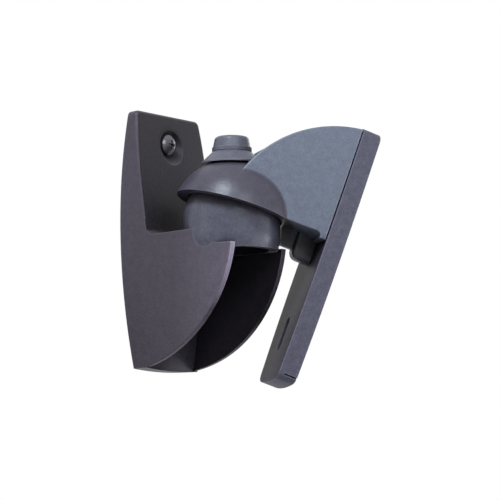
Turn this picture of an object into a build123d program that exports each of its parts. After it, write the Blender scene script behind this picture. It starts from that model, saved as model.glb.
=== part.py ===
from build123d import *
import os
from math import asin, cos, hypot, radians, sin, sqrt, tan

# Ball-joint wall bracket for a small loudspeaker.
# Frame: wall plane at Y = 0, room towards -Y, +X to the right seen from the room, +Z up.
# The origin is on the wall plane, midway between the two wall screws, level with the ball.
# All lengths are in millimetres, all angles in degrees.

# Posture at rest, and the travel of the tilt
rest_swivel = 52.5
rest_tilt = 19.9
tilt_down = 20.5
tilt_up = 15.0

# Wall bracket, outline against the wall
bracket_top = 57.3
bracket_foot = 73.4
bracket_foot_bow = 0.8
bracket_widest_height = 3.3
bracket_half_width = 29.9
bracket_top_half_width = 23.9
bracket_foot_half_width = 18.9
bracket_corner_radius = 3.2

# Wall bracket, half widths further out from the wall
waist_depth = 33.0
waist_half_width = 24.6
waist_top_half_width = 27.2
waist_foot_half_width = 21.6
hull_depth = 66.0
front_half_width = 22.6

# Wall bracket, side view
slab_top_depth = 6.4
slab_face_lean = 7.6
slab_root_radius = 4.0
slab_edge_radius = 2.0
cheek_foot_depth = 6.0
cheek_arc_centre_drop = 5.2
cheek_arc_centre_back = 3.2
cheek_top_drop = 7.4
cheek_top_rise = 3.2
cheek_nose_drop = 13.8
cheek_edge_radius = 0.6
cheek_toe = 0.6
cheek_wall = 3.8
cheek_foot_wall = 2.4
back_wall = 8.8
web_wall = 4.0
core_wall = 3.0
core_foot = 2.0

# Wall screws
wall_screw_height = 42.0
wall_hole_width = 5.2
wall_screw_head_width = 10.6
wall_screw_head_height = 3.3
wall_screw_head_edge = 1.2
wall_screw_neck_width = 3.6
wall_screw_thread_width = 4.4
wall_screw_length = 22.0
wall_screw_tip_length = 6.0
wall_screw_point_width = 0.4
wall_screw_seat_width = 11.6
wall_screw_seat_depth = 5.8
wall_screw_dish_flare = 50.0
wall_screw_boss_width = 15.0
cross_width = 1.3
cross_length = 5.0
cross_depth = 1.8

# Ball, cast with the wall bracket
wall_to_ball = 48.0
ball_radius = 24.3
ball_waist_drop = 8.0
ball_foot_drop = 15.4
ball_shell = 4.2
ball_boss_width = 16.0
ball_boss_height = 5.0
ball_rib_wall = 2.4

# Clamp bolt
bolt_width = 6.0
bolt_clearance = 0.25
bolt_head_flats = 10.0
bolt_head_height = 4.0
hex_clearance = 0.15

# Skirt washer and thrust washer under the knob
skirt_gap = 0.35
skirt_radius = 15.4
skirt_seat_radius = 11.0
skirt_rim_lift = 1.2
skirt_rim_edge = 0.7
skirt_top_radius = 9.8
skirt_floor_wall = 1.8
thrust_washer_width = 14.0
thrust_washer_depth = 1.5
washer_clearance = 0.2

# Clamp knob and the nut moulded into it
knob_gap = 0.3
knob_height = 7.5
knob_base_radius = 10.0
knob_base_depth = 1.8
knob_step = 0.4
knob_top_radius = 8.5
knob_edge_radius = 2.2
knob_nut_flats = 10.0
knob_nut_depth = 5.0
knob_crown_wall = 1.6
knob_bore_room = 0.6
thread_clearance = 0.08

# Arm, drawn level: dome over the ball, two cheeks, floor and end wall
dome_radius = 30.8
dome_ball_gap = 0.9
dome_rim_height = 5.4
dome_rim_lean = 3.2
slot_clearance = 0.5
arm_length = 43.9
arm_half_width_at_ball = 21.2
arm_half_width_at_end = 21.4
arm_top_narrowing = 2.2
arm_arc_radius = 65.2
arm_arc_centre_reach = 54.0
arm_arc_tail_height = 20.0
arm_edge_radius = 0.6
arm_wall = 3.0
arm_end_wall = 3.2
arm_end_foot = 4.0
arm_floor_height = 6.4
arm_floor_rise = 1.2
arm_floor_start = 12.0
arm_floor_wall = 4.0
arm_root_radius = 2.2

# Lug under the arm, and the keel between it and the dome
lug_width = 8.4
lug_depth = 10.4
lug_drop = 7.0
lug_corner_radius = 4.4
lug_edge_radius = 2.0
keel_wall = 3.2
keel_drop = 2.7
keel_reach_at_rim = 25.4
keel_reach_at_middle = 26.4
keel_reach_at_foot = 27.5

# Speaker plate, a shallow tray with its hollow side towards the speaker
plate_gap = 0.4
plate_depth = 10.2
plate_top = 65.2
plate_foot = 68.2
plate_end_bow = 1.4
plate_half_width = 21.6
plate_top_half_width = 18.8
plate_foot_half_width = 17.8
plate_corner_radius = 5.0
plate_edge_radius = 1.2
plate_rim_wall = 2.6
plate_back_wall = 3.2
plate_rib_wall = 2.4
plate_rib_offset = 7.0
plate_cross_rib_height = 20.0
plate_pad_inset = 4.0
plate_slot_pad = 3.0
plate_slit_width = 0.7
plate_slit_height = 2.6
plate_slit_start = 3.0
plate_slot_width = 6.4
plate_slot_length = 18.0
plate_slot_height = 44.0

# Locking screw from the speaker plate into the lug
lock_screw_drop = 1.4
lock_screw_width = 3.0
lock_hole_clearance = 0.2
lock_head_width = 5.6
lock_head_height = 2.2
lock_head_edge = 0.8
lock_screw_grip = 8.0
lock_cross_scale = 0.6

ball_centre = Pos(0, -wall_to_ball, 0)
arm_place = ball_centre * Rot(0, 0, rest_swivel) * Rot(rest_tilt, 0, 0)
far_out = 200.0
cheek_arc_radius = hypot(cheek_foot_depth + cheek_arc_centre_back, bracket_foot - cheek_arc_centre_drop)
skirt_top_height = dome_radius + skirt_gap + skirt_floor_wall + thrust_washer_depth
knob_top = skirt_top_height + knob_gap + knob_height
bolt_top = knob_top - knob_crown_wall - knob_bore_room


def side_solid(profile, half_span):
    """A face drawn in side view, with Y as its first axis and Z as its second, spread along X."""
    return extrude(Plane.YZ * profile, amount=half_span, both=True)


def turned(profile):
    """A half section drawn with radius and height, turned about the vertical."""
    return revolve(Plane.XZ * profile, axis=Axis.Z)


def upright(radius, low, high):
    """A vertical cylinder about the Z axis between two heights."""
    return Pos(0, 0, (low + high) / 2) * Cylinder(radius, high - low)


def level(radius, start, end):
    """A cylinder about the Y axis between two values of Y."""
    return Pos(0, (start + end) / 2, 0) * Rot(90, 0, 0) * Cylinder(radius, abs(end - start))


def hexagon(flats, low, high):
    """A hexagonal block about the Z axis, given across its flats, between two heights."""
    return Pos(0, 0, low) * extrude(RegularPolygon(flats / 2, 6, major_radius=False), amount=high - low)


def cross_recess(width, length, depth):
    """A cross cut downwards from height 0 about the Z axis."""
    bar = Pos(0, 0, -depth / 2) * Box(length, width, depth)
    return bar + Rot(0, 0, 90) * bar


def bowed_face(depth, foot, widest, top, foot_bow=0, top_bow=0):
    """A bowed outline at a depth from the wall, from (half width, height) at three heights."""
    edges = Curve()
    for side in (1, -1):
        for end in (foot, top):
            middle = (end[1] + widest[1]) / 2
            edges += Bezier(
                (side * widest[0], widest[1]), (side * widest[0], middle), (side * end[0], end[1])
            )
    for end, bow in ((foot, -foot_bow), (top, top_bow)):
        if bow:
            edges += ThreePointArc((-end[0], end[1]), (0, end[1] + bow), (end[0], end[1]))
        else:
            edges += Line((-end[0], end[1]), (end[0], end[1]))
    plane = Plane(origin=(0, -depth, 0), x_dir=(1, 0, 0), z_dir=(0, -1, 0))
    return plane * make_face(edges)


def bracket_hull(inset, foot_inset):
    """The bowed block that the wall bracket is cut from, its sides and its foot's sides moved in."""
    stations = (
        (0, bracket_foot_half_width, bracket_half_width, bracket_top_half_width),
        (waist_depth, waist_foot_half_width, waist_half_width, waist_top_half_width),
        (hull_depth, front_half_width, front_half_width, front_half_width),
    )
    faces = []
    for depth, foot, widest, top in stations:
        faces.append(
            bowed_face(
                depth,
                (foot - foot_inset, -bracket_foot),
                (widest - inset, bracket_widest_height),
                (top - inset, bracket_top),
                foot_bow=bracket_foot_bow,
            )
        )
    return loft(faces)


def arc_depth(height):
    """Depth of the cheeks' quarter-round front edge at a height."""
    rise = height + cheek_arc_centre_drop
    return sqrt(cheek_arc_radius**2 - rise**2) - cheek_arc_centre_back


def slab_depth(height):
    """Depth of the slab's leaning front face at a height."""
    return slab_top_depth + tan(radians(slab_face_lean)) * (bracket_top - height)


def cheek_top(depth):
    """Height of the cheeks' top edge at a depth."""
    return -cheek_top_drop + tan(radians(cheek_top_rise)) * (depth - slab_depth(-cheek_top_drop))


def capsule(radius, foot):
    """The ball: a dome on a short straight waist and a rounded foot, cut flat below."""
    foot_radius = sqrt(radius**2 - (foot - ball_waist_drop) ** 2)
    middle = (foot - ball_waist_drop) / 2
    diagonal = radius * sin(radians(45))
    edges = ThreePointArc((0, radius), (diagonal, diagonal), (radius, 0))
    edges += Line((radius, 0), (radius, -ball_waist_drop))
    edges += ThreePointArc(
        (radius, -ball_waist_drop),
        (sqrt(radius**2 - middle**2), -ball_waist_drop - middle),
        (foot_radius, -foot),
    )
    edges += Polyline((foot_radius, -foot), (0, -foot), (0, radius))
    return turned(make_face(edges))


def root_gusset(root):
    """Rounds the inner corner between the slab's face and the cheeks' top, given in side view."""
    reach = 2 * slab_root_radius
    sunk = 2 * slab_edge_radius
    face_end = (-slab_depth(root[1] + reach), root[1] + reach)
    top_end = (root[0] - reach, cheek_top(reach - root[0]))
    corner = make_face(
        Polyline(
            face_end,
            root,
            top_end,
            (top_end[0], root[1] - sunk),
            (root[0] + sunk, root[1] - sunk),
            (root[0] + sunk, root[1]),
            close=True,
        )
    )
    corner = fillet(corner.vertices().sort_by_distance((root[0], root[1], 0))[0], slab_root_radius)
    return side_solid(corner, far_out) & bracket_hull(0, 0)


def bracket_block():
    """The wall bracket's outer form, before it is hollowed and the ball is added."""
    nose = (-arc_depth(-cheek_nose_drop), -cheek_nose_drop)
    foot_height = cheek_toe - bracket_foot
    foot = (-arc_depth(foot_height), foot_height)
    middle_height = (foot_height - cheek_nose_drop) / 2
    middle = (-arc_depth(middle_height), middle_height)
    root = (-slab_depth(-cheek_top_drop), -cheek_top_drop)
    lowest = -bracket_foot - 2 * bracket_foot_bow
    outline = Polyline(
        foot,
        (foot[0], lowest),
        (0, lowest),
        (0, bracket_top),
        (-slab_top_depth, bracket_top),
        root,
        (-wall_to_ball, cheek_top(wall_to_ball)),
        (-wall_to_ball, -cheek_nose_drop),
        nose,
    ) + ThreePointArc(nose, middle, foot)
    block = side_solid(make_face(outline), far_out) & bracket_hull(0, 0)

    def at_top_corner(edge):
        return edge.center().Z > bracket_top - 0.1 and abs(edge.center().X) > bracket_top_half_width / 2

    def at_slab_front(edge):
        return -slab_depth(0) < edge.center().Y < -slab_edge_radius / 2 and edge.center().Z > 0

    def at_arc(edge):
        return edge.center().Y < -wall_to_ball / 2 and edge.center().Z < -bracket_foot / 2

    block = fillet(block.edges().filter_by(at_top_corner), bracket_corner_radius)
    block = fillet(block.edges().filter_by(at_slab_front), slab_edge_radius)
    block = fillet(block.edges().filter_by(at_arc), cheek_edge_radius)
    return block + root_gusset(root)


def make_wall_bracket():
    body = bracket_block()

    # Trough between the cheeks, open to the front and below
    front = -hull_depth - 1
    lowest = -bracket_foot - 2 * bracket_foot_bow
    trough = make_face(
        Polyline(
            (-back_wall, lowest),
            (-back_wall, cheek_top(back_wall) - web_wall),
            (-wall_to_ball, cheek_top(wall_to_ball) - web_wall),
            (front, cheek_top(wall_to_ball) - web_wall),
            (front, lowest),
            close=True,
        )
    )
    body -= side_solid(trough, far_out) & bracket_hull(cheek_wall, cheek_foot_wall)

    # Core taken out of the slab from behind, round the upper screw's boss
    core_top = bracket_top - core_wall
    core = make_face(
        Polyline(
            (0, -core_foot),
            (core_wall - slab_depth(-core_foot), -core_foot),
            (core_wall - slab_depth(core_top), core_top),
            (0, core_top),
            close=True,
        )
    )
    boss = Pos(0, 0, wall_screw_height) * level(wall_screw_boss_width / 2, 0, -wall_to_ball)
    body -= (side_solid(core, far_out) & bracket_hull(core_wall, core_wall)) - boss

    # Ball, hollow from below, with a ribbed boss for the clamp bolt
    hollow = capsule(ball_radius - ball_shell, ball_foot_drop)
    ribs_height = ball_radius - ball_boss_height
    ribs = Pos(0, 0, ball_boss_height + ribs_height / 2) * (
        Box(2 * ball_radius, ball_rib_wall, ribs_height) + Box(ball_rib_wall, 2 * ball_radius, ribs_height)
    )
    boss = upright(ball_boss_width / 2, ball_boss_height, ball_radius)
    body += ball_centre * capsule(ball_radius, ball_foot_drop)
    body -= ball_centre * (hollow - (ribs + boss))
    body -= ball_centre * upright(bolt_width / 2 + bolt_clearance, 0, ball_radius + 1)
    body -= ball_centre * hexagon(
        bolt_head_flats + 2 * hex_clearance, ball_boss_height, ball_boss_height + bolt_head_height
    )

    # Screw holes, a dished seat on the leaning face for the upper head and a sunk one for the lower
    seat_radius = wall_screw_seat_width / 2
    dish_depth = wall_to_ball / 4
    dish = Rot(90, 0, 0) * Pos(0, 0, wall_screw_seat_depth + dish_depth / 2) * Cone(
        seat_radius, seat_radius + dish_depth * tan(radians(wall_screw_dish_flare)), dish_depth
    )
    through = level(wall_hole_width / 2, 1, -back_wall)
    body -= Pos(0, 0, wall_screw_height) * (through + dish)
    sunk = level(seat_radius, -wall_screw_seat_depth, -back_wall)
    body -= Pos(0, 0, -wall_screw_height) * (through + sunk)
    return body


def domed_head(width, edge, height):
    """A screw's head on height 0: a short straight edge and a domed top."""
    radius = width / 2
    crown = height - edge
    dome = (radius**2 + crown**2) / (2 * crown)
    half = asin(radius / dome) / 2
    middle = (dome * sin(half), height - dome * (1 - cos(half)))
    outline = ThreePointArc((radius, edge), middle, (0, height))
    outline += Polyline((0, height), (0, 0), (radius, 0), (radius, edge))
    return turned(make_face(outline))


def make_wall_screws():
    head = domed_head(wall_screw_head_width, wall_screw_head_edge, wall_screw_head_height)
    head -= Pos(0, 0, wall_screw_head_height) * cross_recess(cross_width, cross_length, cross_depth)
    shank_end = -wall_screw_length + wall_screw_tip_length
    tip = Pos(0, 0, shank_end - wall_screw_tip_length / 2) * Cone(
        wall_screw_point_width / 2, wall_screw_thread_width / 2, wall_screw_tip_length
    )

    # The thread's envelope starts at the wall plane, below a plain neck in the bracket
    neck = upright(wall_screw_neck_width / 2, -wall_screw_seat_depth, 0)
    thread = upright(wall_screw_thread_width / 2, shank_end, -wall_screw_seat_depth)
    screw = Rot(90, 0, 0) * (head + neck + thread + tip)
    screws = []
    for height in (wall_screw_height, -wall_screw_height):
        screws.append(Pos(0, -wall_screw_seat_depth, height) * screw)
    return Compound(children=screws)


def make_clamp_bolt():
    head_top = ball_boss_height + bolt_head_height
    return ball_centre * (
        hexagon(bolt_head_flats, ball_boss_height, head_top) + upright(bolt_width / 2, head_top, bolt_top)
    )


def make_skirt_washer():
    inner = bolt_width / 2 + bolt_clearance
    sphere = dome_radius + skirt_gap
    rim_low = sqrt(sphere**2 - skirt_radius**2) + skirt_rim_lift
    middle = skirt_seat_radius / 2
    seat_end = (skirt_seat_radius, sqrt(sphere**2 - skirt_seat_radius**2))
    seat = thrust_washer_width / 2 + washer_clearance
    floor = skirt_top_height - thrust_washer_depth
    outline = ThreePointArc(
        (inner, sqrt(sphere**2 - inner**2)),
        (middle, sqrt(sphere**2 - middle**2)),
        seat_end,
    )
    outline += Polyline(
        seat_end,
        (skirt_radius, rim_low),
        (skirt_radius, rim_low + skirt_rim_edge),
        (skirt_top_radius, skirt_top_height),
        (seat, skirt_top_height),
        (seat, floor),
        (inner, floor),
        (inner, sqrt(sphere**2 - inner**2)),
    )
    return ball_centre * turned(make_face(outline))


def make_thrust_washer():
    floor = skirt_top_height - thrust_washer_depth
    ring = upright(thrust_washer_width / 2, floor, skirt_top_height)
    bore = upright(bolt_width / 2 + washer_clearance, floor - 1, skirt_top_height + 1)
    return ball_centre * (ring - bore)


def make_clamp_knob():
    low = skirt_top_height + knob_gap
    step = low + knob_base_depth
    base = upright(knob_base_radius, low, step)
    body = Pos(0, 0, (step + knob_top) / 2) * Cone(
        knob_base_radius - knob_step, knob_top_radius, knob_top - step
    )
    body = fillet(body.edges().sort_by(Axis.Z)[-1], knob_edge_radius)
    knob = base + body
    knob -= hexagon(knob_nut_flats, low, low + knob_nut_depth)
    knob -= upright(bolt_width / 2 + bolt_clearance, low, bolt_top + knob_bore_room)
    return ball_centre * knob


def make_knob_nut():
    low = skirt_top_height + knob_gap
    bore = upright(bolt_width / 2 + thread_clearance, low - 1, low + knob_nut_depth + 1)
    return ball_centre * (hexagon(knob_nut_flats, low, low + knob_nut_depth) - bore)


def arm_half_width(reach):
    """Half width of the arm at a distance out from the ball."""
    growth = (arm_half_width_at_end - arm_half_width_at_ball) / arm_length
    return arm_half_width_at_ball + growth * reach


def arm_hull(inset):
    """The tapered block that the arm's cheeks are cut from, its sides moved in by an inset."""
    faces = []
    for reach in (-dome_radius, arm_length):
        width = arm_half_width(reach) - inset
        faces.append(
            bowed_face(
                reach,
                (width, -plate_foot),
                (width, 0),
                (width - arm_top_narrowing, arm_arc_radius),
            )
        )
    return loft(faces, ruled=True)


def arm_arc_height(reach):
    """Height of the cheeks' quarter-round top edge at a distance out from the ball."""
    return sqrt(arm_arc_radius**2 - (arm_arc_centre_reach - reach) ** 2)


def arm_floor(reach):
    """Height of the cheeks' lower edge at a distance out from the ball."""
    return arm_floor_height + tan(radians(arm_floor_rise)) * (reach - arm_floor_start)


def make_arm():
    end_inside = arm_length - arm_end_wall
    tail_reach = arm_arc_centre_reach - sqrt(arm_arc_radius**2 - arm_arc_tail_height**2)
    tail = (-tail_reach, arm_arc_tail_height)
    crown = (-arm_length, arm_arc_height(arm_length))
    middle_reach = (tail_reach + arm_length) / 3
    root = (-end_inside, arm_floor(end_inside))
    outline = Polyline(
        tail,
        (-arm_floor_start, arm_floor(arm_floor_start)),
        root,
        (-end_inside, arm_end_foot),
        (-arm_length, arm_end_foot),
        crown,
    ) + ThreePointArc(crown, (-middle_reach, arm_arc_height(middle_reach)), tail)
    body = side_solid(make_face(outline), far_out) & arm_hull(0)

    def at_root(edge):
        return abs(edge.center().Y - root[0]) < 0.1 and abs(edge.center().Z - root[1]) < 0.1

    def at_side(edge):
        return abs(edge.center().X) > arm_half_width_at_ball / 4

    body = fillet(body.edges().filter_by(at_root), arm_root_radius)
    body = fillet(body.edges().filter_by(at_side), arm_edge_radius)

    # Room between the cheeks, open above and towards the wall
    room = make_face(
        Polyline(
            (dome_radius, arm_floor(arm_floor_start) + arm_floor_wall),
            (-arm_floor_start, arm_floor(arm_floor_start) + arm_floor_wall),
            (-end_inside, arm_floor(end_inside) + arm_floor_wall),
            (-end_inside, arm_arc_radius),
            (dome_radius, arm_arc_radius),
            close=True,
        )
    )
    body -= side_solid(room, far_out) & arm_hull(arm_wall)

    # Dome over the ball, cut off above the ball's middle, higher towards the speaker
    below = Pos(0, 0, -dome_radius) * Box(3 * dome_radius, 3 * dome_radius, 2 * dome_radius)
    body += Sphere(dome_radius) - Pos(0, 0, dome_rim_height) * Rot(-dome_rim_lean, 0, 0) * below

    # Lug for the locking screw, rounded towards the wall, and the keel between it and the dome
    lug_back = arm_length - lug_depth
    lug_top = arm_floor(lug_back) + arm_floor_wall / 2
    lug = make_face(
        Polyline(
            (-lug_back, lug_top),
            (-lug_back, -lug_drop),
            (-arm_length, -lug_drop),
            (-arm_length, lug_top),
            close=True,
        )
    )
    lug = fillet(lug.vertices().sort_by(Axis.Y)[:2].sort_by(Axis.X)[-1], lug_corner_radius)
    lug = side_solid(lug, lug_width / 2)

    def at_lug_edge(edge):
        middle = edge.center()
        return abs(middle.X) > lug_width / 4 and middle.Y > -arm_length + 0.1 and middle.Z < lug_top - 0.1

    body += fillet(lug.edges().filter_by(at_lug_edge), lug_edge_radius)
    keel = make_face(
        Polyline(
            (-keel_reach_at_rim, lug_top),
            (-keel_reach_at_rim, dome_rim_height),
            (-keel_reach_at_middle, 0),
            (-keel_reach_at_foot, -keel_drop),
            (-arm_length, -keel_drop),
            (-arm_length, lug_top),
            close=True,
        )
    )
    body += side_solid(keel, keel_wall / 2)

    # Cavity for the ball and the slot that lets the bolt through over the whole tilt
    body -= Sphere(ball_radius + dome_ball_gap)
    slot_half = bolt_width / 2 + slot_clearance
    slot_back = dome_radius * sin(radians(tilt_down)) + slot_half
    slot_front = dome_radius * sin(radians(tilt_up)) + slot_half
    slot = SlotOverall(slot_back + slot_front, 2 * slot_half, rotation=90)
    body -= Pos(0, (slot_back - slot_front) / 2, 0) * extrude(slot, amount=dome_radius + 1)

    # Blind hole for the locking screw
    hole_end = lock_screw_grip + lock_hole_clearance - arm_length
    hole = level(lock_screw_width / 2 + thread_clearance, -arm_length, hole_end)
    body -= Pos(0, 0, -lock_screw_drop) * hole
    return arm_place * body


def plate_outline(reach, inset):
    """The speaker plate's bowed outline at a distance from the ball, moved in by an inset."""
    return bowed_face(
        reach,
        (plate_foot_half_width - inset, inset - plate_foot),
        (plate_half_width - inset, 0),
        (plate_top_half_width - inset, plate_top - inset),
        foot_bow=plate_end_bow,
        top_bow=plate_end_bow,
    )


def make_speaker_plate():
    back = arm_length + plate_gap
    front = back + plate_depth
    out = (0, -1, 0)
    body = extrude(plate_outline(back, 0), amount=plate_depth, dir=out)
    body = fillet(body.edges().filter_by(Axis.Y), plate_corner_radius)
    body = fillet(body.faces().sort_by(Axis.Y)[0].edges(), plate_edge_radius)
    body = fillet(body.faces().sort_by(Axis.Y)[-1].edges(), plate_edge_radius / 2)
    tray = extrude(plate_outline(back + plate_back_wall, plate_rim_wall), amount=plate_depth, dir=out)
    tray = fillet(tray.edges().filter_by(Axis.Y), plate_corner_radius - plate_rim_wall)

    # Ribs in the tray, and blocks round the slots
    middle = Pos(0, -(back + front) / 2, 0)
    long_rib = Pos(0, 0, (plate_top - plate_foot) / 2) * Box(
        plate_rib_wall, plate_depth, plate_top + plate_foot - 2 * plate_rim_wall
    )
    cross_rib = Box(2 * (plate_half_width - plate_rim_wall), plate_depth, plate_rib_wall)
    block = Box(
        plate_slot_width + 2 * plate_slot_pad, plate_depth, plate_slot_length + 2 * plate_slot_pad
    )
    ribs = Pos(plate_rib_offset, 0, 0) * long_rib + Pos(-plate_rib_offset, 0, 0) * long_rib
    for side in (1, -1):
        ribs += Pos(0, 0, side * plate_cross_rib_height) * cross_rib
        ribs += Pos(0, 0, side * plate_slot_height) * block
    body -= tray - middle * ribs

    # Pad that seats against the arm's end wall and lug
    pad_width = 2 * (arm_half_width_at_end - arm_top_narrowing - plate_pad_inset)
    pad_low = arm_end_foot + plate_pad_inset
    pad_high = arm_arc_height(arm_length) - plate_pad_inset
    pad = Pos(0, 0, (pad_low + pad_high) / 2) * Box(
        pad_width, plate_gap + plate_back_wall, pad_high - pad_low
    )
    lug_pad_low = lug_edge_radius - lug_drop
    pad += Pos(0, 0, (pad_low + lug_pad_low) / 2) * Box(
        lug_width - 2 * lug_edge_radius, plate_gap + plate_back_wall, pad_low - lug_pad_low
    )
    body += Pos(0, -(arm_length + back + plate_back_wall) / 2, 0) * pad

    # Slots for the speaker's screws, the locking screw's hole and a slit at each lower corner
    slot = Plane.XZ * SlotOverall(plate_slot_length, plate_slot_width, rotation=90)
    for height in (plate_slot_height, -plate_slot_height):
        body -= Pos(0, -front, height) * extrude(slot, amount=2 * plate_depth, both=True)
    body -= Pos(0, 0, -lock_screw_drop) * level(
        lock_screw_width / 2 + lock_hole_clearance, -arm_length, -front
    )
    slit_depth = plate_depth - plate_slit_start
    for side in (1, -1):
        body -= Pos(
            side * plate_foot_half_width, -front + slit_depth / 2, plate_slit_height - plate_foot
        ) * Box(2 * plate_rim_wall, slit_depth, plate_slit_width)
    return arm_place * body


def make_lock_screw():
    seat = arm_length + plate_gap + plate_back_wall
    head = domed_head(lock_head_width, lock_head_edge, lock_head_height)
    head -= Pos(0, 0, lock_head_height) * cross_recess(
        cross_width * lock_cross_scale, cross_length * lock_cross_scale, cross_depth * lock_cross_scale
    )
    shank = level(lock_screw_width / 2, lock_screw_grip - arm_length, -seat)
    return arm_place * Pos(0, 0, -lock_screw_drop) * (Pos(0, -seat, 0) * Rot(90, 0, 0) * head + shank)


def save(shape, name):
    """Writes a node, or a group of like solids, under its own name."""
    shape.label = name
    export_step(shape, f"parts/{name}.step")


os.makedirs("parts", exist_ok=True)
save(make_wall_bracket(), "wall_bracket")
save(make_wall_screws(), "wall_screws")
save(make_clamp_bolt(), "clamp_bolt")
save(make_skirt_washer(), "skirt_washer")
save(make_thrust_washer(), "thrust_washer")
save(make_clamp_knob(), "clamp_knob")
save(make_knob_nut(), "knob_nut")
save(make_arm(), "dome_arm")
save(make_speaker_plate(), "speaker_plate")
save(make_lock_screw(), "lock_screw")
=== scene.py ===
from math import cos, radians, sin

import bpy
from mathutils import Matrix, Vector


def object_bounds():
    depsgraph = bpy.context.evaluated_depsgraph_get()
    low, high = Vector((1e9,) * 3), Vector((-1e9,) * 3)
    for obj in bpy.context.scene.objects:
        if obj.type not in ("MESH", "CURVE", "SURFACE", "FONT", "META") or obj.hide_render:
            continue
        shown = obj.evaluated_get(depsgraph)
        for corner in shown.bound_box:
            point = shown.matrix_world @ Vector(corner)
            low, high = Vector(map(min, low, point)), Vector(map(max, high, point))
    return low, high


# Looks for a ball-joint speaker wall bracket, in metres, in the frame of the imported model: materials,
# floor, lamps, background and camera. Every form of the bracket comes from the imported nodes.
# +Y points into the wall, +X to the right as seen from the room, and +Z up.

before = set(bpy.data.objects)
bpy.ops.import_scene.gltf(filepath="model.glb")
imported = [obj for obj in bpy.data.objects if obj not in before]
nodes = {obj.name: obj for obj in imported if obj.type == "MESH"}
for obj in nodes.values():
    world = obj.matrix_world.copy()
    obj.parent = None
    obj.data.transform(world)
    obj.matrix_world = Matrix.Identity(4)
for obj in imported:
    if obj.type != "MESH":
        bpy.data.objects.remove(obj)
cad_low, cad_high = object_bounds()

# Camera: in front of the bracket, to its left and a little below it, looking up with a long lens
VIEW_TURN = radians(38.4)
VIEW_RISE = radians(7.0)
VIEW_DISTANCE = 1.3
VIEW_LENS_MM = 187.2
SENSOR_MM = 36.0
AIM_POINT = Vector((0.0, -0.0506, -0.00645))
AIM_RIGHT = 0.00705
AIM_DOWN = 0.00865

# Floor, background and lamps
WHITE = (1.0, 1.0, 1.0, 1.0)
FLOOR_DROP = 0.50
FLOOR_SIZE = 40.0
FLOOR_COLOUR = (0.8, 0.8, 0.8, 1.0)
FLOOR_ROUGHNESS = 0.9
FLOOR_WHITE = 0.80
BACKDROP_WHITE = 1.0
FILL_STRENGTH = 0.03
LAMP_AIM = Vector((0.0, -0.05, 0.0))
LAMP_DISTANCE = 1.2
KEY_COLOUR = (0.80, 0.92, 1.0)
FRONT_COLOUR = (0.84, 0.94, 1.0)
LAMP_COLOUR = (0.97, 0.98, 1.0)

# Plastic's grain and mottle, and steel's marks. A span is the part of the noise's range that is spread out.
NOISE_ROUGHNESS = 0.6
GRAIN_SIZE = 0.0010
GRAIN_DETAIL = 3.0
GRAIN_STRENGTH = 0.5
GRAIN_DEPTH = 0.00020
CLOUD_SIZE = 0.0035
CLOUD_DETAIL = 4.0
CLOUD_CONTRAST = 0.20
COLOUR_SPAN = (0.35, 0.65)
GLOSS_SPAN = (0.3, 0.7)
PLASTIC_SMOOTHER = 0.04
PLASTIC_ROUGHER = 0.05
MARK_SIZE = 0.002
MARK_DETAIL = 5.0
MARK_STRENGTH = 0.25
MARK_DEPTH = 0.00005
STEEL_SMOOTHER = 0.06
STEEL_ROUGHER = 0.08

# Painted highlights along edges, by how far the rounded normal leaves the face's own, and painted shade in
# corners and under overhangs, by the room around a point
EDGE_WIDTH = 0.0009
EDGE_SAMPLES = 4
EDGE_FLAT = 0.998
EDGE_FULL = 0.93
EDGE_HIGHLIGHT_GAIN = 0.9
CREVICE_WIDTH = 0.020
CREVICE_SAMPLES = 8
CREVICE_CLOSED = 0.25
CREVICE_OPEN = 0.92
CORNER_SHADE_TONE = 0.25

# Ball, as in the wall bracket: a dome, a straight waist below it and a rounded foot
BALL_CENTRE = (0.0, -0.048, 0.0)
BALL_RADIUS = 0.0243
BALL_WAIST = 0.008
BALL_FOOT = 0.0155
SKIN_FULL = 0.00008
SKIN_END = 0.00030

# Dome and lug of the arm, and back of the speaker plate, which are painted darker as shade
DOME_REACH = 0.0313
LUG_TOP = -0.007
LUG_FADE = 0.005
PLATE_BACK = (-0.746, 0.572, 0.340)
PLATE_BACK_MATCH = 0.8

# Painted shade and light on the wall bracket. Depths run from the wall to the room, and sides from the
# middle plane outwards.
INNER_START = 0.002
INNER_FULL = 0.010
INNER_SHADE_TONE = 0.45
RIM_EDGE_ON = 0.35
RIM_INSIDE = 0.014
RIM_START = 0.052
RIM_END = 0.072
RIM_HIGHLIGHT_GAIN = 7.0
CHEEK_SIDE = 0.010
CHEEK_START = 0.030
CHEEK_LIGHT_GAIN = 1.0
SLAB_FACING = 0.9
SLAB_FOOT = -0.010
SLAB_SHADE_TONE = 0.46
SCREW_HEIGHT = 0.042
DISH_EDGE = 0.0104
DISH_FLOOR = 0.0082
DISH_SHADE_TONE = 0.45

# A Mix node has inputs for every type of data, so those in use go by their place: first, second, result
MIX_NUMBERS = (2, 3, 0)
MIX_COLOURS = (6, 7, 2)


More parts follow.
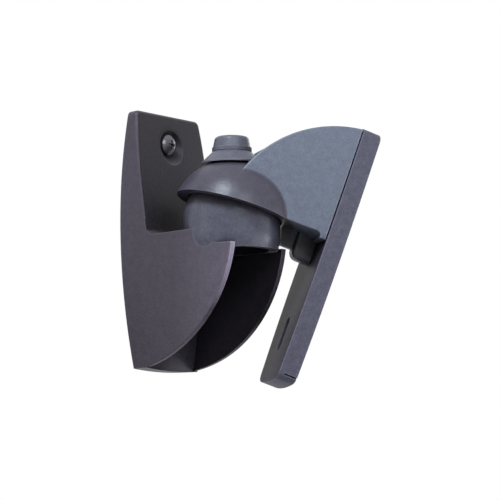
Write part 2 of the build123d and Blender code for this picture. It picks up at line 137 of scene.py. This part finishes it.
class Nodes:
    """A short way to add and link the nodes of one tree.

    A value is a number, a tuple or another node's output.
    """

    def __init__(self, tree):
        self.tree = tree

    def add(self, kind, **attributes):
        """Adds a node and sets its attributes."""
        node = self.tree.nodes.new(kind)
        for name, value in attributes.items():
            setattr(node, name, value)
        return node

    def feed(self, socket, value):
        """Links an output to an input, or sets the input's own value."""
        if isinstance(value, bpy.types.NodeSocket):
            self.tree.links.new(value, socket)
        else:
            socket.default_value = value

    def feed_first(self, node, *values):
        """Feeds a node's first inputs in order."""
        for socket, value in zip(node.inputs, values):
            self.feed(socket, value)

    def feed_named(self, node, **values):
        """Feeds a node's inputs by name, with underscores for spaces."""
        for name, value in values.items():
            self.feed(node.inputs[name.replace("_", " ")], value)

    def math(self, operation, *values):
        node = self.add("ShaderNodeMath", operation=operation)
        self.feed_first(node, *values)
        return node.outputs["Value"]

    def product(self, first, *others):
        """Several values multiplied in turn."""
        for other in others:
            first = self.math("MULTIPLY", first, other)
        return first

    def map_range(self, value, start, end, low=0.0, high=1.0):
        """Carries the range from start to end over to low and high, and stays level beyond it."""
        node = self.add("ShaderNodeMapRange")
        self.feed_named(node, Value=value, From_Min=start, From_Max=end, To_Min=low, To_Max=high)
        return node.outputs["Result"]

    def compare(self, operation, first, second):
        """One number from two vectors: their distance or their dot product."""
        node = self.add("ShaderNodeVectorMath", operation=operation)
        self.feed_first(node, first, second)
        return node.outputs["Value"]

    def scale(self, vector, factor):
        """A vector or colour times a number."""
        node = self.add("ShaderNodeVectorMath", operation="SCALE")
        self.feed_first(node, vector)
        self.feed_named(node, Scale=factor)
        return node.outputs["Vector"]

    def split(self, vector):
        """A vector's x, y and z."""
        node = self.add("ShaderNodeSeparateXYZ")
        self.feed_first(node, vector)
        return tuple(node.outputs)

    def join(self, x, y, z):
        node = self.add("ShaderNodeCombineXYZ")
        self.feed_first(node, x, y, z)
        return node.outputs["Vector"]

    def noise(self, place, size, detail):
        """Noise with blots of about a size, fixed to the piece."""
        node = self.add("ShaderNodeTexNoise")
        self.feed_named(
            node, Vector=place.outputs["Object"], Scale=1.0 / size, Detail=detail, Roughness=NOISE_ROUGHNESS
        )
        return node.outputs["Fac"]

    def mean(self, first, second):
        node = self.add("ShaderNodeMix", data_type="FLOAT")
        first_place, second_place, result = MIX_NUMBERS
        self.feed_named(node, Factor=0.5)
        self.feed(node.inputs[first_place], first)
        self.feed(node.inputs[second_place], second)
        return node.outputs[result]

    def mix_colours(self, factor, first, second):
        """The first colour where the factor is nought, the second where it is one."""
        node = self.add("ShaderNodeMix", data_type="RGBA")
        first_place, second_place, result = MIX_COLOURS
        self.feed_named(node, Factor=factor)
        for place, colour in ((first_place, first), (second_place, second)):
            self.feed(node.inputs[place], (*colour, 1.0) if isinstance(colour, tuple) else colour)
        return node.outputs[result]

    def mix_shaders(self, factor, first, second):
        node = self.add("ShaderNodeMixShader")
        self.feed_first(node, factor, first, second)
        return node.outputs["Shader"]

    def bump(self, height, strength, depth):
        node = self.add("ShaderNodeBump")
        self.feed_named(node, Height=height, Strength=strength, Distance=depth)
        return node.outputs["Normal"]


def ball_mask(n, place):
    """One on the ball's skin, nought elsewhere. The waist is folded away, which leaves a sphere."""
    x, y, z = n.split(place.outputs["Object"])
    below_waist = n.math("MINIMUM", n.math("ADD", z, BALL_WAIST), 0.0)
    height = n.math("ADD", n.math("MAXIMUM", z, 0.0), below_waist)
    reach = n.compare("DISTANCE", n.join(x, y, height), BALL_CENTRE)
    off_skin = n.math("ABSOLUTE", n.math("SUBTRACT", reach, BALL_RADIUS))
    skin = n.map_range(off_skin, SKIN_END, SKIN_FULL)
    return n.product(skin, n.math("GREATER_THAN", z, -BALL_FOOT))


def dome_and_lug_shade_mask(n, place):
    """One on the dome and the lug under the arm, which are painted darker as shade, nought on the arm's
    cheeks.
    """
    reach = n.compare("DISTANCE", place.outputs["Object"], BALL_CENTRE)
    _, _, z = n.split(place.outputs["Object"])
    lug = n.map_range(z, LUG_TOP, LUG_TOP - LUG_FADE)
    return n.math("MAXIMUM", n.math("LESS_THAN", reach, DOME_REACH), lug)


def back_shade_mask(n, place):
    """One on the faces that look back from the speaker plate towards the wall, which are painted darker as
    shade, nought elsewhere.
    """
    match = n.compare("DOT_PRODUCT", place.outputs["Normal"], PLATE_BACK)
    return n.math("GREATER_THAN", match, PLATE_BACK_MATCH)


def bracket_painted_light(n, place):
    """Painted light on the wall bracket: painted shade inside, on the slab's face and round the screws, and
    painted light that makes the front paler.
    """
    x, y, z = n.split(place.outputs["Object"])
    facing_x, facing_y, _ = n.split(place.outputs["Normal"])
    side = n.math("ABSOLUTE", x)

    # Painted shade on faces that look at the middle plane, the further from it the darker
    outward = n.math("MULTIPLY", x, facing_x)
    inner = n.map_range(outward, -INNER_START, -INNER_FULL, 1.0, INNER_SHADE_TONE)

    # Painted highlight on the front rims of the cheeks, paler towards the nose
    edge_on = n.math("LESS_THAN", n.math("ABSOLUTE", facing_x), RIM_EDGE_ON)
    rim_place = n.product(edge_on, n.math("GREATER_THAN", side, RIM_INSIDE))
    nose = n.map_range(y, -RIM_START, -RIM_END, 0.0, RIM_HIGHLIGHT_GAIN)
    rim = n.math("MULTIPLY_ADD", rim_place, nose, 1.0)

    # Painted light on the outer faces of the cheeks, paler towards the front
    outside = n.math("GREATER_THAN", outward, CHEEK_SIDE)
    lit_towards_front = n.map_range(y, -CHEEK_START, -RIM_END, 0.0, CHEEK_LIGHT_GAIN)
    cheeks = n.math("MULTIPLY_ADD", outside, lit_towards_front, 1.0)

    # Painted shade on the face of the slab above the cheeks
    ahead = n.math("LESS_THAN", facing_y, -SLAB_FACING)
    slab_face = n.product(ahead, n.math("GREATER_THAN", z, SLAB_FOOT))
    slab = n.map_range(slab_face, 0.0, 1.0, 1.0, SLAB_SHADE_TONE)

    # Painted shade in the dishes round the two screws, which stand at the same height above and below the
    # ball
    spot = n.join(x, 0.0, n.math("ABSOLUTE", z))
    from_screw = n.compare("DISTANCE", spot, (0.0, 0.0, SCREW_HEIGHT))
    dish = n.map_range(from_screw, DISH_EDGE, DISH_FLOOR, 1.0, DISH_SHADE_TONE)
    return n.product(cheeks, slab, inner, rim, dish)


def corner_shade_mask(n):
    """One on open faces, lower in corners and under overhangs, where the colour is darkened as painted
    shade.
    """
    room = n.add("ShaderNodeAmbientOcclusion", samples=CREVICE_SAMPLES)
    n.feed_named(room, Distance=CREVICE_WIDTH)
    return n.map_range(room.outputs["AO"], CREVICE_CLOSED, CREVICE_OPEN, CORNER_SHADE_TONE, 1.0)


def edge_highlight_mask(n):
    """Nought on broad faces and up to one along edges, where the colour is lightened as a painted
    highlight.
    """
    bevel = n.add("ShaderNodeBevel", samples=EDGE_SAMPLES)
    n.feed_named(bevel, Radius=EDGE_WIDTH)
    shape = n.add("ShaderNodeNewGeometry")
    match = n.compare("DOT_PRODUCT", bevel.outputs["Normal"], shape.outputs["Normal"])
    return n.map_range(match, EDGE_FLAT, EDGE_FULL)


def new_material(name):
    """A material, its nodes and its surface shader."""
    material = bpy.data.materials.new(name)
    material.use_nodes = True
    tree = material.node_tree
    return material, Nodes(tree), tree.nodes["Principled BSDF"]


def grained_plastic(
    name, colour, roughness, shine, painted_light_of=None, patch=None, patch_colour=None, patch_gloss=0.0
):
    """Moulded satin plastic: fine grain, cloudy colour, uneven gloss, painted highlights along edges and
    painted shade in corners.

    A moulding can carry painted shade and light, and have a patch with a second colour and a smoother
    surface: the ball's own paler colour, or painted shade on the arm's dome and lug and on the plate's
    back.
    """
    material, n, shader = new_material(name)
    place = n.add("ShaderNodeTexCoord")
    grain = n.noise(place, GRAIN_SIZE, GRAIN_DETAIL)
    mottle = n.mean(n.noise(place, CLOUD_SIZE, CLOUD_DETAIL), grain)
    gloss = n.map_range(mottle, *GLOSS_SPAN, roughness - PLASTIC_SMOOTHER, roughness + PLASTIC_ROUGHER)

    body = n.scale(colour, painted_light_of(n, place)) if painted_light_of else colour
    if patch:
        mask = patch(n, place)
        body = n.mix_colours(mask, body, patch_colour)
        if patch_gloss:
            gloss = n.math("MULTIPLY_ADD", mask, -patch_gloss, gloss)

    tone = n.map_range(mottle, *COLOUR_SPAN, 1.0 - CLOUD_CONTRAST, 1.0 + CLOUD_CONTRAST)
    # Paler along edges: a painted highlight on top of the plastic's own random mottle
    tone_and_edge_highlight = n.math("MULTIPLY_ADD", edge_highlight_mask(n), EDGE_HIGHLIGHT_GAIN, tone)
    # The base colour is darkened in corners and under overhangs as painted shade
    n.feed_named(
        shader,
        Base_Color=n.scale(body, n.product(tone_and_edge_highlight, corner_shade_mask(n))),
        Roughness=gloss,
        Specular_IOR_Level=shine,
        Normal=n.bump(grain, GRAIN_STRENGTH, GRAIN_DEPTH),
    )
    return material


def worn_steel(name, dark, light, roughness, metallic):
    """Plated or blackened steel with faint marks and uneven gloss."""
    material, n, shader = new_material(name)
    marks = n.noise(n.add("ShaderNodeTexCoord"), MARK_SIZE, MARK_DETAIL)
    ramp = n.add("ShaderNodeValToRGB")
    for element, position, colour in zip(ramp.color_ramp.elements, COLOUR_SPAN, (dark, light)):
        element.position = position
        element.color = (*colour, 1.0)
    n.feed_named(ramp, Fac=marks)
    n.feed_named(
        shader,
        Base_Color=ramp.outputs["Color"],
        Metallic=metallic,
        Roughness=n.map_range(marks, *GLOSS_SPAN, roughness - STEEL_SMOOTHER, roughness + STEEL_ROUGHER),
        Normal=n.bump(marks, MARK_STRENGTH, MARK_DEPTH),
    )
    return material


def dress(material, *names):
    """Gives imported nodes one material."""
    for name in names:
        mesh = nodes[name].data
        mesh.materials.clear()
        mesh.materials.append(material)


def seen_share(n):
    """One for rays from the camera, from glossy surfaces and through glass, nought for the rest."""
    path = n.add("ShaderNodeLightPath")
    shiny = n.math("MAXIMUM", path.outputs["Is Glossy Ray"], path.outputs["Is Transmission Ray"])
    return n.math("MAXIMUM", path.outputs["Is Camera Ray"], shiny)


def add_floor():
    """A plain pale floor under the bracket, which isn't part of it and keeps a soft shadow."""
    bpy.ops.mesh.primitive_plane_add(size=FLOOR_SIZE, location=(0, 0, cad_low[2] - FLOOR_DROP))
    floor = bpy.context.object
    floor.name = "floor"
    material, n, shader = new_material("floor")
    n.feed_named(shader, Base_Color=FLOOR_COLOUR, Roughness=FLOOR_ROUGHNESS, Specular_IOR_Level=0.0)
    glow = n.add("ShaderNodeEmission")
    n.feed_named(glow, Color=WHITE, Strength=1.0)
    share = n.product(seen_share(n), FLOOR_WHITE)
    surface = n.mix_shaders(share, shader.outputs["BSDF"], glow.outputs["Emission"])
    n.feed_named(n.tree.nodes["Material Output"], Surface=surface)
    floor.data.materials.append(material)


def add_world():
    """Faint light all round, with plain white wherever the camera or a reflection sees past the bracket."""
    world = bpy.data.worlds.new("studio")
    bpy.context.scene.world = world
    world.use_nodes = True
    n = Nodes(world.node_tree)
    n.tree.nodes.clear()
    fill = n.add("ShaderNodeBackground")
    n.feed_named(fill, Color=WHITE, Strength=FILL_STRENGTH)
    backdrop = n.add("ShaderNodeBackground")
    n.feed_named(backdrop, Color=WHITE, Strength=BACKDROP_WHITE)
    surface = n.mix_shaders(seen_share(n), fill.outputs["Background"], backdrop.outputs["Background"])
    n.feed_named(n.add("ShaderNodeOutputWorld"), Surface=surface)


def add_lamp(name, angle, height, size, power, colour):
    """A soft square lamp round the ball: angle from the front to the right, height above level."""
    data = bpy.data.lights.new(name, "AREA")
    data.size = size
    data.energy = power
    data.color = colour
    turn, lift = radians(angle), radians(height)
    away = Vector((sin(turn) * cos(lift), -cos(turn) * cos(lift), sin(lift)))
    lamp = bpy.data.objects.new(name, data)
    lamp.location = LAMP_AIM + LAMP_DISTANCE * away
    lamp.rotation_euler = (-away).to_track_quat("-Z", "Y").to_euler()
    bpy.context.scene.collection.objects.link(lamp)


def add_camera():
    """The photo's viewpoint. The middle of the view lies right of and below the aim point."""
    across = Vector((sin(VIEW_TURN), -cos(VIEW_TURN), 0))
    along = Vector((cos(VIEW_TURN) * cos(VIEW_RISE), sin(VIEW_TURN) * cos(VIEW_RISE), sin(VIEW_RISE)))
    upward = across.cross(along)
    place = AIM_POINT - VIEW_DISTANCE * along
    centre = AIM_POINT + AIM_RIGHT * across - AIM_DOWN * upward
    data = bpy.data.cameras.new("camera")
    data.lens = VIEW_LENS_MM
    data.sensor_width = SENSOR_MM
    camera = bpy.data.objects.new("camera", data)
    camera.location = place
    camera.rotation_euler = (centre - place).to_track_quat("-Z", "Y").to_euler()
    bpy.context.scene.collection.objects.link(camera)
    bpy.context.scene.camera = camera


bracket_plastic = grained_plastic(
    "bracket_moulding",
    colour=(0.054, 0.044, 0.058),
    roughness=0.42,
    shine=0.20,
    # Painted shade inside, on the slab and round the screws, and painted highlights on the rims and cheek
    # fronts
    painted_light_of=bracket_painted_light,
    patch=ball_mask,
    patch_colour=(0.083, 0.079, 0.104),
    patch_gloss=0.12,
)
arm_plastic = grained_plastic(
    "arm_moulding",
    colour=(0.111, 0.120, 0.160),
    roughness=0.38,
    shine=0.38,
    # The dome and the lug are painted darker than the cheeks as shade
    patch=dome_and_lug_shade_mask,
    patch_colour=(0.053, 0.045, 0.064),
)
knob_plastic = grained_plastic("knob_moulding", colour=(0.100, 0.094, 0.122), roughness=0.40, shine=0.32)
plate_plastic = grained_plastic(
    "plate_moulding",
    colour=(0.101, 0.092, 0.121),
    roughness=0.46,
    shine=0.06,
    # The plate's back faces are painted darker as shade
    patch=back_shade_mask,
    patch_colour=(0.027, 0.022, 0.030),
)
black_steel = worn_steel(
    "blackened_steel", dark=(0.075, 0.069, 0.078), light=(0.13, 0.122, 0.134), roughness=0.24, metallic=0.35
)
zinc_steel = worn_steel(
    "zinc_steel", dark=(0.42, 0.42, 0.43), light=(0.6, 0.6, 0.62), roughness=0.32, metallic=1.0
)

dress(bracket_plastic, "wall_bracket")
dress(plate_plastic, "speaker_plate")
dress(arm_plastic, "dome_arm")
dress(knob_plastic, "skirt_washer", "clamp_knob")
dress(black_steel, "wall_screws", "lock_screw")
dress(zinc_steel, "clamp_bolt", "thrust_washer", "knob_nut")

add_floor()
add_world()
add_lamp("key", angle=-75, height=50, size=0.3, power=16.0, colour=KEY_COLOUR)
add_lamp("side", angle=-120, height=8, size=0.6, power=2.2, colour=LAMP_COLOUR)
add_lamp("front", angle=-28, height=28, size=0.4, power=5.2, colour=FRONT_COLOUR)
add_lamp("low", angle=40, height=-6, size=0.3, power=3.9, colour=FRONT_COLOUR)
add_lamp("low_front", angle=15, height=-12, size=0.4, power=2.5, colour=LAMP_COLOUR)
add_lamp("far_side", angle=100, height=10, size=0.6, power=5.0, colour=LAMP_COLOUR)
add_lamp("behind", angle=178, height=12, size=1.0, power=1.5, colour=LAMP_COLOUR)
add_camera()
bpy.context.scene.view_settings.view_transform = "Standard"
